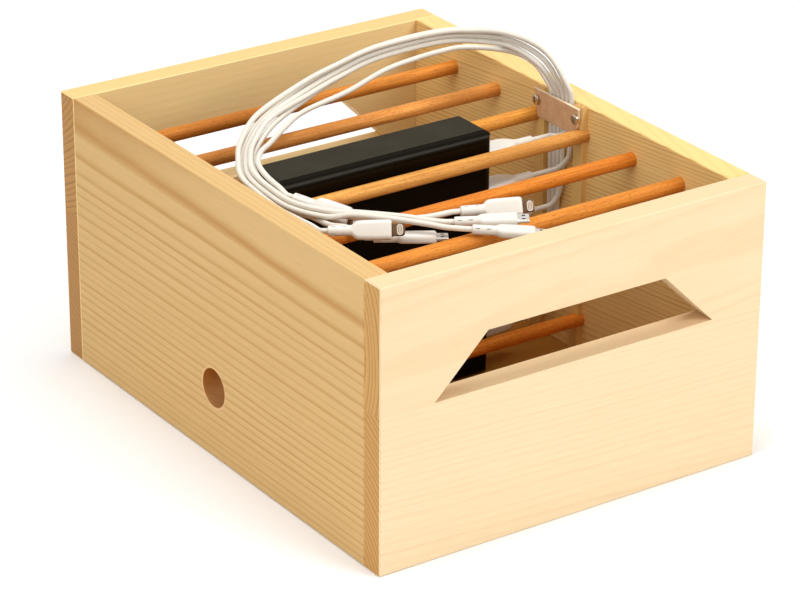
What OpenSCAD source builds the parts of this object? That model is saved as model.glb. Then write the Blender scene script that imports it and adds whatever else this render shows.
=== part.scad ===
// Desk box that hides a six-port charger, with dowel bays for devices and six charging cables

/* [Box] */
// Outside width of the box
box_w = 240; // [230:1:300]
// Outside depth of the box
box_d = 313; // [300:1:380]
// Outside height of the box
box_h = 158; // [156:1:190]
// Thickness of the four side boards
board_t = 14; // [13:0.5:20]
// Chamfer on the boards' edges
board_chamfer = 0.5; // [0.2:0.1:1.5]

/* [Hand slots] */
// Height of the joint between the lower and the upper board of the front and the back
joint_z = 88; // [84:1:92]
// Height of the slot above that joint
slot_h = 31.6; // [20:0.2:40]
// Length of the slot along its top edge
slot_top_w = 111; // [60:1:150]
// Length of the slot along its bottom edge
slot_bottom_w = 175; // [155:1:200]

/* [Floor] */
// Thickness of the floor panel
floor_t = 6; // [4:0.5:9]
// Height of the floor panel's underside above the table
floor_lift = 4.3; // [3:0.1:10]
// Depth of the grooves that hold the floor panel
groove_depth = 4; // [3:0.5:6]

/* [Dowels] */
// Diameter of the cross dowels
dowel_dia = 8; // [6:0.5:9]
// Number of dowels in each row
dowel_count = 6; // [6:2:6]
// Distance from the front or the back board to the axis of the nearest dowel
dowel_end_gap = 39; // [36:0.5:42]
// Gap between the charger and the two dowels beside it
charger_side_gap = 2.4; // [1:0.2:4]
// Distance from the box's top edge down to the upper row's axis
upper_dowel_drop = 16.8; // [14:0.2:20]
// Height of the lower row's axis
lower_dowel_z = 31; // [24:0.5:50]
// Depth of the blind holes in the side boards
dowel_hole_depth = 8; // [5:0.5:10]

/* [Corner pins] */
// Diameter of the hidden pins in the corner joints
pin_dia = 6; // [4:0.5:8]
// Length of a hidden pin
pin_len = 28; // [20:1:36]
// Depth of a pin in the front or back board
pin_front_depth = 10; // [6:0.5:11]
// Height of the lowest pin
pin_low_z = 22; // [18:1:30]
// Vertical distance between two pins
pin_pitch = 46; // [36:1:56]

/* [Cable passages] */
// Diameter of the mains lead's hole in the left board
lead_hole_dia = 22; // [16:0.5:30]
// Height of that hole's centre
lead_hole_z = 41; // [28:1:60]
// Clear width between the two battens
channel_w = 27; // [24:0.5:29]
// How far the channel's middle is in front of the box's middle
channel_shift = 1; // [0:0.5:2]
// Width of a batten
batten_w = 8; // [7:0.5:12]
// Thickness of a batten
batten_t = 3.5; // [3.4:0.1:6]

/* [Leather strap] */
// Thickness of the strap
strap_t = 2; // [1.5:0.1:2.5]
// Length of the strap along its top edge
strap_top_w = 42; // [41:1:46]
// Length of the strap along its bottom edge
strap_bottom_w = 34; // [28:1:38]
// Height of the strap
strap_h = 16; // [13:0.5:18]
// Distance from the box's top edge down to the strap's top edge
strap_drop = 1; // [0.5:0.5:4]
// Distance between the two screws
screw_pitch = 35; // [33:0.5:36]
// Distance from the strap's top edge down to the screws
screw_drop = 6; // [5:0.5:8]
// Diameter of a screw's head
screw_head_dia = 6; // [4:0.5:7]
// Height of a screw's head
screw_head_h = 2; // [1.4:0.1:3]
// Length of the cross recess in a screw's head
screw_recess_len = 3.8; // [2.5:0.1:3.9]
// Width of the cross recess
screw_recess_w = 1; // [0.6:0.1:1.2]
// Depth of the cross recess
screw_recess_depth = 1; // [0.6:0.1:1.3]
// Diameter of a screw's shank
screw_dia = 3; // [2:0.5:3.5]
// Length of a screw's shank
screw_len = 16; // [12:1:20]

/* [Charger] */
// Length of the charger across the box
charger_w = 135; // [128:0.5:137]
// Thickness of the charger between the dowels
charger_t = 28.6; // [26:0.2:30]
// Height of the charger
charger_h = 143.6; // [140:0.2:146]
// Distance from the left board to the charger
charger_left_gap = 20; // [16:0.5:22]
// Depth of the front cover
cover_t = 3.8; // [3.4:0.1:5]
// Wall thickness of the two shells
shell_wall = 2.2; // [1.8:0.1:2.8]
// Radius of the shells' corners in the front view
shell_corner_r = 4; // [2:0.5:8]
// Radius of the cover's front edges
cover_edge_r = 5; // [2:0.25:5]
// Width of the shadow groove between the two shells
seam_w = 1.3; // [0.8:0.1:1.6]
// Depth of the shadow groove
seam_depth = 1.2; // [0.5:0.1:1.3]
// Thickness of the circuit board
pcb_t = 1.6; // [1:0.1:2]
// Gap from the circuit board's left edge to the shell
pcb_margin = 6; // [4:0.5:10]
// Gap from the circuit board's other edges to the shell
pcb_gap = 1.5; // [1:0.5:3]
// Distance of the board's four screws from the charger's corner
board_screw_inset = 12; // [11.5:0.5:14]
// Diameter of those screws
board_screw_dia = 2.5; // [2:0.1:3]
// Diameter of their heads
board_screw_head_dia = 4.8; // [4:0.1:5.5]
// Height of their heads
board_screw_head_h = 1.6; // [1:0.1:2]
// Diameter of the pillars that they go into
pillar_dia = 6; // [5:0.5:7]
// Gap from the parts on the circuit board to the cover
part_gap = 1; // [0.5:0.1:2]
// Distance from the charger's left end to the transformer's winding
winding_left = 48; // [46:1:56]
// Height of the winding's foot above the floor panel
winding_lift = 62; // [50:1:80]
// Width of the transformer's winding
winding_w = 26; // [20:1:30]
// Height of the transformer's winding
winding_h = 30; // [24:1:34]
// Thickness of the transformer's two end blocks
end_block_w = 5; // [3:0.5:6]
// How much shorter the end blocks are than the winding, at top and bottom
end_block_step = 5; // [3:0.5:7]
// How much lower the winding is than the end blocks
winding_step = 3; // [1:0.5:4]

/* [Ports and plugs] */
// Number of ports
port_count = 6; // [6:1:6]
// Distance between two ports
port_pitch = 21; // [20:0.5:22]
// Height of the top port's centre
top_port_z = 135.8; // [135:0.2:137]
// Width of a port's metal socket
socket_w = 13.2; // [13:0.1:13.6]
// Height of a port's metal socket
socket_h = 5.8; // [5.7:0.1:6.2]
// Depth of a port's metal socket
socket_depth = 14; // [13:0.5:16]
// Sheet thickness of sockets and plug tips
sheet_t = 0.35; // [0.25:0.05:0.4]
// Width of a plug's metal tip
plug_tip_w = 12; // [11.9:0.05:12.1]
// Height of a plug's metal tip
plug_tip_h = 4.5; // [4.4:0.05:4.6]
// Length of a plug's metal tip outside its body
plug_tip_len = 12; // [11:0.5:12]
// Thickness of the contact tongue in a socket
tongue_t = 1.4; // [1:0.1:1.6]
// Width of the tongue
tongue_w = 10; // [9:0.5:11]
// Height of the tongue's underside above the socket's middle
tongue_lift = 0.35; // [0.3:0.05:0.4]
// Distance from the tongue's end to the socket's mouth
tongue_setback = 1.5; // [1:0.5:3]
// Thickness of the tongue's foot at the socket's bottom
tongue_foot_t = 1; // [0.5:0.1:1.5]
// Height of that foot below the socket's middle
tongue_foot_drop = 2; // [1:0.1:2.2]
// Width of a plug's body
plug_w = 14.4; // [14:0.1:16]
// Height of a plug's body
plug_h = 6.6; // [6.4:0.1:8]
// Length of a plug's body
plug_len = 24; // [22:0.5:25]
// Length of the sleeve behind a plug's body
sleeve_len = 11.5; // [10:0.5:12]
// Outer diameter of that sleeve
sleeve_dia = 5.6; // [5.2:0.1:6.4]
// Gap between a seated plug's body and the charger
plug_seat_gap = 0.3; // [0.2:0.1:1]
// Chamfer on a plug's body
plug_chamfer = 1; // [0.6:0.1:1.4]
// Depth of the metal tip inside the plug's body
plug_tip_seat = 3; // [2:0.5:5]
// Distance from the end of the metal tip to the insulator in it
plug_core_setback = 1; // [0.6:0.1:2]
// Height of the insulator's top below the tip's middle
plug_core_drop = 0.2; // [0.1:0.1:0.5]
// Side of the windows in the metal tip
plug_window = 2.2; // [1.5:0.1:2.5]
// Distance from the end of the metal tip to the middle of the windows
plug_window_x = 6.2; // [4:0.1:7]
// Distance of the windows from the tip's middle line
plug_window_y = 3; // [2:0.1:3.5]

/* [Cables and connectors] */
// Diameter of a cable
cable_dia = 3; // [2.6:0.1:3]
// Distance between two cables side by side in the channel
channel_pitch = 3.6; // [3.1:0.1:3.8]
// Distance between two cables side by side in the bundle
bundle_pitch = 3.5; // [3.4:0.1:3.6]
// Width of the body of a connector with a flat tip
connector_w = 10.4; // [8:0.2:11]
// Width of the body of a connector with a hollow tip
small_connector_w = 8.4; // [8:0.1:9]
// Thickness of the body of a connector with a flat tip
connector_t = 6; // [5:0.1:6.4]
// Thickness of the body of a connector with a hollow tip
small_connector_t = 5.2; // [4.6:0.1:5.8]
// Length of a connector's body
connector_len = 20; // [16:0.5:22]
// Length of the sleeve behind a connector's body
relief_len = 12; // [8:0.5:13]
// Diameter of that sleeve
relief_dia = 5.6; // [4:0.1:5.8]
// Chamfer on a connector's body
connector_chamfer = 1; // [0.5:0.1:1.5]
// Depth of a connector's tip inside its body
tip_seat = 4; // [2:0.5:6]
// Length of a flat connector tip
flat_tip_len = 6.7; // [6:0.1:7]
// Width of a flat connector tip
flat_tip_w = 6.7; // [6:0.1:7]
// Thickness of a flat connector tip
flat_tip_t = 1.5; // [1.3:0.1:1.8]
// Length of a hollow connector tip
hollow_tip_len = 6; // [5:0.1:6.5]
// Width of a hollow connector tip
hollow_tip_w = 6.9; // [6.5:0.1:7.2]
// Thickness of a hollow connector tip
hollow_tip_t = 1.9; // [1.8:0.1:2.2]

/* [Mains inlet] */
// Width of the inlet, which stands upright
inlet_w = 20; // [18:0.5:24]
// Thickness of the inlet
inlet_t = 11; // [10:0.5:12]
// Depth of the inlet's body
inlet_depth = 14; // [12:0.5:18]
// Depth of the recess that takes the lead's plug
inlet_recess = 11; // [8:0.5:12]
// Diameter of the recess's round ends
inlet_recess_dia = 8; // [7:0.1:8.5]
// Distance between the two contact pins
inlet_pin_pitch = 8.6; // [8:0.1:9]
// Diameter of a contact pin
inlet_pin_dia = 2.4; // [2:0.1:2.5]
// How far the inlet stands out of the charger's left end
inlet_proud = 0.6; // [0.3:0.1:1.5]
// Thickness of the ledge that carries the inlet on the circuit board
inlet_ledge_t = 1; // [0.5:0.1:1.4]
// Length of a contact pin in the recess
inlet_pin_len = 8; // [7:0.5:10]

/* [Hidden] */

$fn = 48;
// Clearance of a round piece in its hole, on the radius
fit_gap = 0.04;
// Clearance of a flat piece in its groove or window
slide_gap = 0.15;
// Clearance of a cable in the sleeve of a plug, on the radius
sleeve_gap = 0.35;
// Extra length of every cutting body, so that it passes its faces
cut = 1;

// Inner faces of the box and what follows from them
inner_x = box_w / 2 - board_t;
inner_y = box_d / 2 - board_t;
floor_top = floor_lift + floor_t;
upper_dowel_z = box_h - upper_dowel_drop;
batten_x = inner_x - batten_t;
channel_mid_y = -channel_shift;
channel_x = inner_x - batten_t / 2;
strap_top_z = box_h - strap_drop;
strap_bottom_z = strap_top_z - strap_h;
screw_z = strap_top_z - screw_drop;
charger_x0 = -inner_x + charger_left_gap;
charger_x1 = charger_x0 + charger_w;
charger_y1 = charger_t / 2;
charger_z1 = floor_top + charger_h;
seam_y = -charger_y1 + cover_t;
pcb_front_y = socket_w / 2;
pcb_back_y = pcb_front_y + pcb_t;
// The parts on the circuit board reach forward to this plane
parts_front_y = -charger_y1 + shell_wall + part_gap;
// Place of the transformer's winding
winding_at = [charger_x0 + winding_left, floor_top + winding_lift];
// Each capacitor: distance from the charger's left end, height above its foot, radius
capacitor_places = [[26, 40, 8], [26, 62, 8], [92, 36, 5], [92, 50, 5], [92, 100, 5], [92, 114, 5]];
plug_x = charger_x1 + plug_seat_gap;
sleeve_x = plug_x + plug_len;
sleeve_end_x = sleeve_x + sleeve_len;
// Length of the cable's end inside the sleeve of a seated plug
cable_seat = 3;
// A plug pulls straight out by the length of its tip, and the cable stands still in its sleeve
plug_travel = plug_tip_len;
// Straight cable beyond the sleeve of a pulled plug
lead_straight = 0.6;
cable_start_x = sleeve_end_x - cable_seat;
plug_bore_x = cable_start_x - plug_travel - slide_gap;

// Places of the two dowels beside the charger and of the two nearest the boards
inner_dowel_y = charger_y1 + charger_side_gap + dowel_dia / 2;
outer_dowel_y = inner_y - dowel_end_gap;

// Dowels from back to front, evenly spaced on either side of the charger
function dowel_y(i) = let (half = dowel_count / 2, k = i < half ? half - 1 - i : i - half)
    (i < half ? 1 : -1) * (inner_dowel_y + (outer_dowel_y - inner_dowel_y) * k / (half - 1));
function port_z(i) = top_port_z - i * port_pitch;

// Stations of the bundle of five cables: a point, the direction from its inner to its outer edge,
// and how far the channel's flat row has closed up to the zigzag row, in width and in height
bundle = [
    [[102.5, 1, 164.5], [0, -1, 0.2], 0, 0.6],
    [[98.5, 10, 176.5], [-0.05, -0.47, 0.88], 0.4, 1],
    [[95, 33, 181], [-0.31, -0.16, 0.94], 0.9, 1],
    [[85, 55, 179.6], [-0.44, -0.3, 0.85], 1, 1],
    [[67, 67, 178.4], [-0.26, -0.49, 0.83], 1, 1],
    [[32, 74, 174.3], [-0.19, -0.36, 0.91], 1, 1],
    [[7, 74, 168.8], [-0.19, -0.09, 0.98], 1, 1],
    [[-18, 69, 164], [-0.24, 0.24, 0.94], 0.9, 1],
    [[-50, 56, 159], [-0.5, 0.8, 0.3], 0.6, 1],
    [[-70.7, 40, 155], [-0.7, 0.7, 0.2], 0.8, 1],
    [[-84.4, 22, 155.2], [-0.8, 0.5, 0.1], 1, 1],
    [[-93.8, 4, 154.6], [-1, 0.2, 0], 1, 1],
    [[-94.3, -12, 151.6], [-1, 0, 0], 1, 1],
    [[-91.5, -32, 149], [-1, -0.3, 0], 1, 1],
    [[-81.5, -51, 148.5], [-0.8, -0.5, 0], 1, 1]
];

// Place of each cable in the channel's row and in the bundle's zigzag row, in cable distances,
// and how many of the bundle's stations it passes
cable_slot = [-1.5, -2.5, -0.5, 0.5, 1.5, 2.5];
bundle_place = [[0.6, -0.66], [1.2, 0], [0, 0], [-0.6, 0.66], [-1.2, 0], [0, 0]];
bundle_stations = [12, 13, 15, 15, 15, 0];

// Points between a plug and the channel: X, share of the way to the cable's place in the channel
// and rise above the port. The first cable dips under the strap at once, the others climb behind it
first_lead = [[100.4, 0.5, 0], [103.3, 0.95, 2.5]];
other_lead = [[99.6, 0.25, 1.2], [102.6, 0.7, 6], [104, 1, 13]];
// Height above the port at which a cable runs straight up in the channel, and the step from there
lead_rise = 22;
lead_step = 20;
// Heights at which the first cable and the others pass behind the strap
first_pass_z = 142;
pass_z = 143;

// Points of each cable past the bundle. The last cable runs apart from it
cable_tail = [
    [[-96.6, -8, 149.6], [-93.8, -21, 147], [-88.7, -30, 145.2], [-82.5, -38, 144],
        [-83, -56.2, 146.1], [-78.6, -65.6, 147]],
    [[-98, -31, 149.5], [-97.7, -46, 150], [-97, -59, 150.5]],
    [[-73, -61.5, 151.4], [-62.5, -72.5, 151.3], [-54.8, -81.4, 151], [-45.6, -90.6, 150], [-40.5, -96.7, 149.4]],
    [[-70.2, -58.5, 151], [-59.4, -69.3, 151], [-50, -79, 150.8], [-44, -85, 150]],
    [[-68.5, -58.5, 147.8], [-57.5, -67, 147.7], [-47.5, -74.6, 147.9], [-38.9, -80.5, 149]],
    [[104, 11.5, 161.5], [102, 20, 169.6], [98.7, 30.7, 173.2], [91.3, 39.1, 175], [83.8, 47.7, 175],
        [74.7, 53.8, 175], [66.5, 57.5, 173.8], [51, 62, 171], [31, 64, 167.4], [3, 58, 163], [-27.5, 54.5, 159.2], [-47, 43.3, 158],
        [-64, 30.4, 157.5], [-75.2, 21.7, 158], [-83.2, 12.2, 157.6], [-87, 3, 157],
        [-88.2, -6.8, 155.4], [-86.8, -15, 152.8]]
];

// For each connector: where its cable enters, its heading, its pitch down, its roll and its tip
connector_pose = [
    [[-69, -74.5, 142.4], -32, 0, 0, "hollow"],
    [[-93.5, -70.4, 150.6], -36.5, -2.5, 62, "flat"],
    [[-29.3, -105, 148.6], -33, 4, 10, "hollow"],
    [[-31.6, -92.6, 148.8], -33, -2.5, 10, "hollow"],
    [[-23.2, -86, 150.2], -22.5, 0, 62, "flat"],
    [[-83.6, -22.8, 149.6], -57.6, 10, 60, "flat"]
];

// Number of sides of a cable and the distance between its rings
cable_sides = 8;
ring_step = 8;
// Length of the straight piece of cable at a connector
cable_straight = 4;

// Point at distance d along a connector's axis, from where its cable enters
function along(pose, d) = let (h = pose[1], p = pose[2])
    pose[0] + d * [cos(h) * cos(p), sin(h) * cos(p), -sin(p)];

function channel_y(i) = channel_mid_y + cable_slot[i] * channel_pitch;

// From the plug to the strap's top edge
function lead_in(i) = let (y = channel_y(i), z = port_z(i), x = channel_x) concat(
    [[cable_start_x, 0, z], [sleeve_end_x + plug_travel + lead_straight, 0, z]],
    [for (q = i == 0 ? first_lead : other_lead) [q[0], q[1] * y, z + q[2]]],
    i == 0 ? [] : [for (h = [z + lead_rise:lead_step:pass_z - lead_step / 2]) [x, y, h]],
    [[x, y, i == 0 ? first_pass_z : pass_z], [x, y, strap_top_z]]);

// Direction of the bundle at station k, and cable i's place there
function bundle_heading(k) = let (n = len(bundle) - 1,
    before = k == 0 ? [channel_x, channel_mid_y, strap_bottom_z] : bundle[k - 1][0])
    unit(bundle[min(k + 1, n)][0] - before);

function bundle_point(i, k) = let (
        b = bundle[k],
        h = bundle_heading(k),
        side = unit(b[1] - (b[1] * h) * h),
        across = (1 - b[2]) * -cable_slot[i] * channel_pitch + b[2] * bundle_place[i][0] * bundle_pitch,
        lift = b[3] * bundle_place[i][1] * bundle_pitch)
    b[0] + across * side + lift * cross(side, h);

function bundle_part(i) = [for (k = [0:1:bundle_stations[i] - 1]) bundle_point(i, k)];

function route(i) = concat(lead_in(i), bundle_part(i), cable_tail[i],
    [along(connector_pose[i], -cable_straight), along(connector_pose[i], 0)]);

// Smooth curve through the points, with the ends kept straight
function curve_point(a, b, c, d, t) = 0.5 * (2 * b + (c - a) * t
    + (2 * a - 5 * b + 4 * c - d) * t * t + (3 * b - a - 3 * c + d) * t * t * t);

function smooth(p) = let (n = len(p) - 1) concat([for (i = [0:n - 1])
    let (a = i == 0 ? 2 * p[0] - p[1] : p[i - 1],
        d = i == n - 1 ? 2 * p[n] - p[n - 1] : p[i + 2],
        steps = i == 0 || i == n - 1 ? 1 : max(1, round(norm(p[i + 1] - p[i]) / ring_step)))
        for (k = [0:steps - 1]) curve_point(a, p[i], p[i + 1], d, k / steps)], [p[n]]);

function unit(v) = v / norm(v);

// Direction of the curve at ring i
function heading(p, i) = let (n = len(p) - 1)
    i == 0 ? unit(p[1] - p[0]) : i == n ? unit(p[n] - p[n - 1])
        : unit(unit(p[i + 1] - p[i]) + unit(p[i] - p[i - 1]));

// Side vector of each ring, carried along the curve without twist
function sides(p, i, s) = let (t = heading(p, i), u = unit(s - (s * t) * t))
    i == len(p) - 1 ? [u] : concat([u], sides(p, i + 1, u));

function cable_rings(p, r) = let (s = sides(p, 0, [0, 1, 0]))
    [for (i = [0:len(p) - 1]) let (t = heading(p, i), v = cross(t, s[i]))
        for (k = [0:cable_sides - 1]) let (a = 360 * k / cable_sides)
            p[i] + r * (cos(a) * s[i] + sin(a) * v)];

module tube(p, r) {
    m = cable_sides;
    last = (len(p) - 1) * m;
    polyhedron(
        points = cable_rings(p, r),
        faces = concat(
            [for (k = [1:m - 2]) [0, k, k + 1]],
            [for (k = [1:m - 2]) [last, last + k + 1, last + k]],
            [for (i = [0:len(p) - 2]) for (k = [0:m - 1])
                let (a = i * m + k, b = i * m + (k + 1) % m) each [[a, a + m, b], [b, a + m, b + m]]]
        )
    );
}

// Block between two corners
module block(low, high) {
    translate(low) cube(high - low);
}

// Rectangle between two corners with its corners cut at 45 degrees
module cut_rect(low, high, c) {
    polygon([
        [low[0] + c, low[1]], [high[0] - c, low[1]], [high[0], low[1] + c], [high[0], high[1] - c],
        [high[0] - c, high[1]], [low[0] + c, high[1]], [low[0], high[1] - c], [low[0], low[1] + c]
    ]);
}

// Block with every edge cut at 45 degrees
module eased_block(low, high, c) {
    intersection() {
        translate([0, 0, low[2]]) linear_extrude(high[2] - low[2])
            cut_rect([low[0], low[1]], [high[0], high[1]], c);
        translate([0, high[1], 0]) rotate([90, 0, 0]) linear_extrude(high[1] - low[1])
            cut_rect([low[0], low[2]], [high[0], high[2]], c);
        translate([low[0], 0, 0]) rotate([90, 0, 90]) linear_extrude(high[0] - low[0])
            cut_rect([low[1], low[2]], [high[1], high[2]], c);
    }
}

// Rectangle around the origin with round corners
module round_rect(w, h, r) {
    square([w - 2 * r, h], center = true);
    square([w, h - 2 * r], center = true);
    for (x = [-1, 1]) for (y = [-1, 1]) translate([x * (w / 2 - r), y * (h / 2 - r)]) circle(r);
}

// Cylinders along the three axes, from a start point
module rod_x(p, r, l) {
    translate(p) rotate([0, 90, 0]) cylinder(r = r, h = l);
}

module rod_y(p, r, l) {
    translate(p) rotate([-90, 0, 0]) cylinder(r = r, h = l);
}

// Grooves in the four boards that take the floor panel
module floor_groove() {
    block([-inner_x - groove_depth, -inner_y - groove_depth, floor_lift],
        [inner_x + groove_depth, inner_y + groove_depth, floor_top + slide_gap]);
}

// Places of the hidden pins, with their radius and length
module pin_set(r, l) {
    for (x = [-1, 1]) for (k = [0:2]) {
        z = pin_low_z + k * pin_pitch;
        rod_y([x * (box_w - board_t) / 2, -inner_y - pin_front_depth, z], r, l);
        rod_y([x * (box_w - board_t) / 2, inner_y + pin_front_depth - l, z], r, l);
    }
}

module pin_holes() {
    pin_set(pin_dia / 2 + fit_gap, pin_len);
}

module slot_cut() {
    rotate([90, 0, 0]) linear_extrude(box_d + 2 * cut, center = true) polygon([
        [-slot_bottom_w / 2, joint_z], [slot_bottom_w / 2, joint_z],
        [slot_top_w / 2, joint_z + slot_h], [-slot_top_w / 2, joint_z + slot_h]
    ]);
}

// The front between two heights: two boards, glued flush at the joint. The back is its mirror image
module front_part(low, high) {
    intersection() {
        eased_block([-box_w / 2, -box_d / 2, 0], [box_w / 2, -inner_y, box_h], board_chamfer);
        block([-box_w / 2, -box_d / 2, low], [box_w / 2, -inner_y, high]);
    }
}

// Upper board, with the slot in its lower edge
module upper_board() {
    difference() {
        front_part(joint_z, box_h);
        slot_cut();
        pin_holes();
    }
}

module lower_board() {
    difference() {
        front_part(0, joint_z);
        floor_groove();
        pin_holes();
    }
}

module front_upper_board() {
    color("burlywood") upper_board();
}

module front_lower_board() {
    color("burlywood") lower_board();
}

module back_upper_board() {
    color("burlywood") mirror([0, 1, 0]) upper_board();
}

module back_lower_board() {
    color("burlywood") mirror([0, 1, 0]) lower_board();
}

// Blind holes of one row of dowels in both side boards
module dowel_holes(z) {
    for (i = [0:dowel_count - 1])
        rod_x([-inner_x - dowel_hole_depth, dowel_y(i), z],
            dowel_dia / 2 + fit_gap, 2 * (inner_x + dowel_hole_depth));
}

// A side board on the right. The left one is its mirror image
module side_board() {
    difference() {
        eased_block([inner_x, -inner_y, 0], [box_w / 2, inner_y, box_h], board_chamfer);
        floor_groove();
        pin_holes();
        dowel_holes(upper_dowel_z);
        dowel_holes(lower_dowel_z);
    }
}

module left_side_board() {
    color("tan") difference() {
        mirror([1, 0, 0]) side_board();
        rod_x([-box_w / 2 - cut, 0, lead_hole_z], lead_hole_dia / 2, board_t + 2 * cut);
    }
}

module right_side_board() {
    color("tan") difference() {
        side_board();
        screw_holes();
    }
}

module floor_panel() {
    e = groove_depth - slide_gap;
    color("wheat") block([-inner_x - e, -inner_y - e, floor_lift], [inner_x + e, inner_y + e, floor_top]);
}

// One dowel, from blind hole to blind hole
module dowel(y, z) {
    e = dowel_hole_depth - slide_gap;
    color("chocolate") rod_x([-inner_x - e, y, z], dowel_dia / 2, 2 * (inner_x + e));
}

module upper_dowel(i) {
    dowel(dowel_y(i), upper_dowel_z);
}

module lower_dowels() {
    for (i = [0:dowel_count - 1]) dowel(dowel_y(i), lower_dowel_z);
}

module corner_pins() {
    color("peru") pin_set(pin_dia / 2, pin_len);
}

// A batten of the cable channel, in front of the channel (-1) or behind it (1)
module batten(side) {
    near = channel_mid_y + side * channel_w / 2;
    far = near + side * batten_w;
    difference() {
        block([batten_x, min(near, far), floor_top], [inner_x, max(near, far), box_h]);
        dowel_holes(upper_dowel_z);
        dowel_holes(lower_dowel_z);
        screw_holes();
    }
}

module front_batten() {
    color("burlywood") batten(-1);
}

module back_batten() {
    color("burlywood") batten(1);
}

module screw_holes() {
    for (s = [-1, 1])
        rod_x([batten_x - strap_t - cut, channel_mid_y + s * screw_pitch / 2, screw_z],
            screw_dia / 2 + fit_gap, screw_len + cut + slide_gap);
}

// The strap makes room for a dowel where its lower corners reach one
module leather_strap() {
    color("rosybrown") difference() {
        translate([batten_x - strap_t, channel_mid_y, 0]) rotate([90, 0, 90]) linear_extrude(strap_t) polygon([
            [-strap_bottom_w / 2, strap_bottom_z], [strap_bottom_w / 2, strap_bottom_z],
            [strap_top_w / 2, strap_top_z], [-strap_top_w / 2, strap_top_z]
        ]);
        screw_holes();
        dowel_holes(upper_dowel_z);
    }
}

// A domed head with a cross recess, and a plain shank
module screw() {
    rotate([0, 90, 0]) cylinder(d = screw_dia, h = screw_len);
    rotate([0, -90, 0]) difference() {
        intersection() {
            cylinder(d = screw_head_dia, h = screw_head_h);
            translate([0, 0, screw_head_h - screw_head_dia]) sphere(screw_head_dia, $fn = 64);
        }
        translate([0, 0, screw_head_h]) for (a = [0, 90]) rotate(a)
            cube([screw_recess_len, screw_recess_w, 2 * screw_recess_depth], center = true);
    }
}

module strap_screws() {
    for (s = [-1, 1])
        color("silver") translate([batten_x - strap_t, channel_mid_y + s * screw_pitch / 2, screw_z])
            screw();
}

// Outer shape of the whole charger: round corners in the front view, round front edges
module charger_shape() {
    intersection() {
        translate([(charger_x0 + charger_x1) / 2, 0, floor_top + charger_h / 2]) rotate([90, 0, 0])
            linear_extrude(charger_t, center = true) round_rect(charger_w, charger_h, shell_corner_r);
        translate([charger_x0, 0, 0]) rotate([90, 0, 90]) linear_extrude(charger_w)
            cover_profile(floor_top, charger_z1);
        translate([0, 0, floor_top]) linear_extrude(charger_h) rotate(90) mirror([0, 1])
            cover_profile(charger_x0, charger_x1);
    }
}

// Section with round corners on the cover's side, from one height to another
module cover_profile(low, high) {
    r = cover_edge_r;
    translate([-charger_y1 + r, low]) square([charger_t - r, high - low]);
    translate([-charger_y1, low + r]) square([charger_t, high - low - 2 * r]);
    for (v = [low + r, high - r]) translate([-charger_y1 + r, v]) circle(r);
}

// Room inside the shells
module charger_room() {
    w = shell_wall;
    block([charger_x0 + w, -charger_y1 + w, floor_top + w], [charger_x1 - w, charger_y1 - w, charger_z1 - w]);
}

// Places of the four screws that hold the circuit board
module board_screw_places() {
    e = board_screw_inset;
    for (x = [charger_x0 + e, charger_x1 - e - socket_depth]) for (z = [floor_top + e, charger_z1 - e])
        translate([x, 0, z]) children();
}

module port_windows() {
    for (i = [0:port_count - 1])
        translate([charger_x1 - shell_wall / 2, 0, port_z(i)])
            cube([shell_wall + 2 * cut, socket_w + 2 * slide_gap, socket_h + 2 * slide_gap], center = true);
}

module charger_housing() {
    color("#1c1c1c") {
        difference() {
            charger_shape();
            charger_room();
            block([charger_x0 - cut, -charger_y1 - cut, floor_top - cut],
                [charger_x1 + cut, seam_y, charger_z1 + cut]);
            seam_groove();
            port_windows();
            translate([charger_x0, 0, lead_hole_z])
                cube([2 * shell_wall + cut, inlet_t + 2 * slide_gap, inlet_w + 2 * slide_gap], center = true);
        }
        board_screw_places()
            rod_y([0, pcb_back_y, 0], pillar_dia / 2, charger_y1 - shell_wall / 2 - pcb_back_y);
    }
}

// The ring that is cut off around the housing's rim
module seam_groove() {
    difference() {
        block([charger_x0 - cut, seam_y - cut, floor_top - cut],
            [charger_x1 + cut, seam_y + seam_w, charger_z1 + cut]);
        block([charger_x0 + seam_depth, seam_y - 2 * cut, floor_top + seam_depth],
            [charger_x1 - seam_depth, seam_y + 2 * cut, charger_z1 - seam_depth]);
    }
}

module charger_cover() {
    color("#161616") difference() {
        charger_shape();
        charger_room();
        block([charger_x0 - cut, seam_y, floor_top - cut],
            [charger_x1 + cut, charger_y1 + cut, charger_z1 + cut]);
    }
}

module circuit_board() {
    m = shell_wall + pcb_gap;
    color("seagreen") difference() {
        block([charger_x0 + shell_wall + pcb_margin, pcb_front_y, floor_top + m],
            [charger_x1 - m, pcb_back_y, charger_z1 - m]);
        board_screw_places() rod_y([0, pcb_front_y - cut, 0], board_screw_dia / 2 + fit_gap, pcb_t + 2 * cut);
    }
}

module board_screws() {
    color("silver") board_screw_places() {
        rod_y([0, pcb_front_y - board_screw_head_h, 0], board_screw_head_dia / 2, board_screw_head_h);
        rod_y([0, pcb_front_y, 0], board_screw_dia / 2, pcb_t);
    }
}

module transformer() {
    x = winding_at[0];
    z = winding_at[1];
    low = z + end_block_step;
    high = z + winding_h - end_block_step;
    color("goldenrod")
        block([x, parts_front_y + winding_step, z], [x + winding_w, pcb_front_y, z + winding_h]);
    color("dimgray") for (left = [x - end_block_w, x + winding_w])
        block([left, parts_front_y, low], [left + end_block_w, pcb_front_y, high]);
}

module capacitors() {
    color("midnightblue") for (c = capacitor_places)
        rod_y([charger_x0 + c[0], parts_front_y, floor_top + c[1]], c[2], pcb_front_y - parts_front_y);
}

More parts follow.
